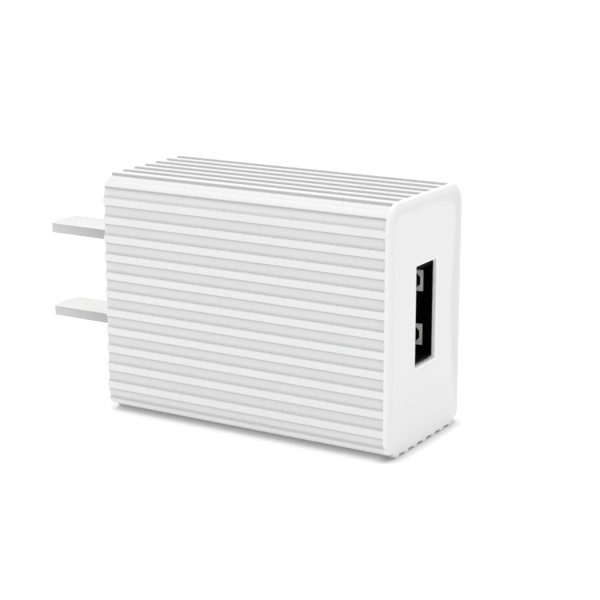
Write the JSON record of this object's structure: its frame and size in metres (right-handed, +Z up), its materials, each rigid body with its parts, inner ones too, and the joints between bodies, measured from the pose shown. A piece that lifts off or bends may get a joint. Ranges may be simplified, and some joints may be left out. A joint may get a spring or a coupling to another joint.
{
  "type": "usb wall charger",
  "caption": "Upright box charger with a ribbed white case, flat plug blades on its rear face and an upright flat socket in its front face.",
  "frame": {"origin": "middle of the bounding box's footprint at the height of the bottom rib tops, on which the charger stands", "axes": "+X out of the socket face, away from the plug blades; +Z up; +Y the wide side that the circuit board stands next to"},
  "size_m": [0.0616, 0.0216, 0.0344],
  "materials": {
    "case_plastic": "white moulded polycarbonate, fine satin",
    "cover_plastic": "white moulded polycarbonate, satin",
    "blade_metal": "nickel-plated brass, lightly brushed along its length",
    "leaf_bronze": "phosphor bronze strip",
    "rivet_metal": "brass",
    "board_laminate": "green solder mask on glass-fibre laminate",
    "resistor_body": "cement coating",
    "resistor_sleeve": "silicone-glass sleeve",
    "chip_epoxy": "moulded epoxy",
    "ferrite": "sintered ferrite, matt",
    "copper_wire": "enamelled copper wire",
    "insulated_wire": "triple-insulated wire",
    "bobbin_plastic": "phenolic moulding",
    "polyester_tape": "polyester tape",
    "tinned_wire": "tinned copper-clad wire",
    "disc_coating": "dipped epoxy coating",
    "chip_resistor": "glass-coated ceramic",
    "chip_ceramic": "fired ceramic",
    "solder": "tin solder, bright",
    "insulation_film": "polyester film",
    "socket_steel": "nickel-plated steel sheet",
    "socket_plastic": "black glass-filled nylon",
    "contact_gold": "gold-flashed bronze",
    "spring_steel": "nickel-plated spring steel",
    "can_aluminium": "drawn aluminium",
    "mains_sleeve": "black shrink sleeve",
    "output_sleeve": "dark blue shrink sleeve",
    "bung_rubber": "butyl rubber"
  },
  "bodies": {
    "charger": {"housing_shell": "case_plastic", "rear_cover": "cover_plastic", "blade_upper": "blade_metal", "blade_lower": "blade_metal", "contact_leaf_upper": "leaf_bronze", "contact_leaf_lower": "leaf_bronze", "blade_rivets": "rivet_metal", "circuit_board": "board_laminate", "fusible_resistor": "resistor_body", "resistor_sleeve": "resistor_sleeve", "bridge_rectifier": "chip_epoxy", "mains_capacitor_upper": "can_aluminium", "mains_capacitor_upper_sleeve": "mains_sleeve", "mains_capacitor_upper_bung": "bung_rubber", "mains_capacitor_lower": "can_aluminium", "mains_capacitor_lower_sleeve": "mains_sleeve", "mains_capacitor_lower_bung": "bung_rubber", "choke_core": "ferrite", "choke_winding": "copper_wire", "transformer_core_upper": "ferrite", "transformer_core_lower": "ferrite", "transformer_bobbin": "bobbin_plastic", "primary_winding": "copper_wire", "secondary_winding": "insulated_wire", "winding_tape": "polyester_tape", "core_tape": "polyester_tape", "transformer_pins": "tinned_wire", "controller_chip": "chip_epoxy", "output_diode": "chip_epoxy", "safety_capacitor": "disc_coating", "output_capacitor_lower": "can_aluminium", "output_capacitor_lower_sleeve": "output_sleeve", "output_capacitor_lower_bung": "bung_rubber", "output_capacitor_upper": "can_aluminium", "output_capacitor_upper_sleeve": "output_sleeve", "output_capacitor_upper_bung": "bung_rubber", "chip_resistors": "chip_resistor", "chip_capacitors": "chip_ceramic", "solder_joints": "solder", "insulation_sheet": "insulation_film", "usb_shell": "socket_steel", "usb_insulator": "socket_plastic", "usb_contact_tails": "contact_gold"},
    "spring_upper_board": {"retention_spring_upper_board": "spring_steel"},
    "spring_lower_board": {"retention_spring_lower_board": "spring_steel"},
    "spring_upper_tongue": {"retention_spring_upper_tongue": "spring_steel"},
    "spring_lower_tongue": {"retention_spring_lower_tongue": "spring_steel"},
    "contact_beams": {"contact_beam_1": "contact_gold", "contact_beam_2": "contact_gold", "contact_beam_3": "contact_gold", "contact_beam_4": "contact_gold"}
  },
  "joints": [
    {"name": "spring_upper_board_flex", "type": "hinge", "parent": "charger", "child": "spring_upper_board", "pos_m": [0.02198, 0.00258, 0.0218], "axis": [0, 0, 1], "range_deg": [0, 3.6], "stiffness_Nm_per_rad": 0.3},
    {"name": "spring_lower_board_flex", "type": "hinge", "parent": "charger", "child": "spring_lower_board", "pos_m": [0.02198, 0.00258, 0.0143], "axis": [0, 0, 1], "range_deg": [0, 3.6], "stiffness_Nm_per_rad": 0.3},
    {"name": "spring_upper_tongue_flex", "type": "hinge", "parent": "charger", "child": "spring_upper_tongue", "pos_m": [0.02198, -0.00287, 0.0218], "axis": [0, 0, -1], "range_deg": [0, 3.6], "stiffness_Nm_per_rad": 0.3},
    {"name": "spring_lower_tongue_flex", "type": "hinge", "parent": "charger", "child": "spring_lower_tongue", "pos_m": [0.02198, -0.00287, 0.0143], "axis": [0, 0, -1], "range_deg": [0, 3.6], "stiffness_Nm_per_rad": 0.3},
    {"name": "contact_beams_flex", "type": "hinge", "parent": "charger", "child": "contact_beams", "pos_m": [0.0188, -0.0007, 0.01805], "axis": [0, 0, -1], "range_deg": [0, 3.1], "stiffness_Nm_per_rad": 0.8}
  ]
}
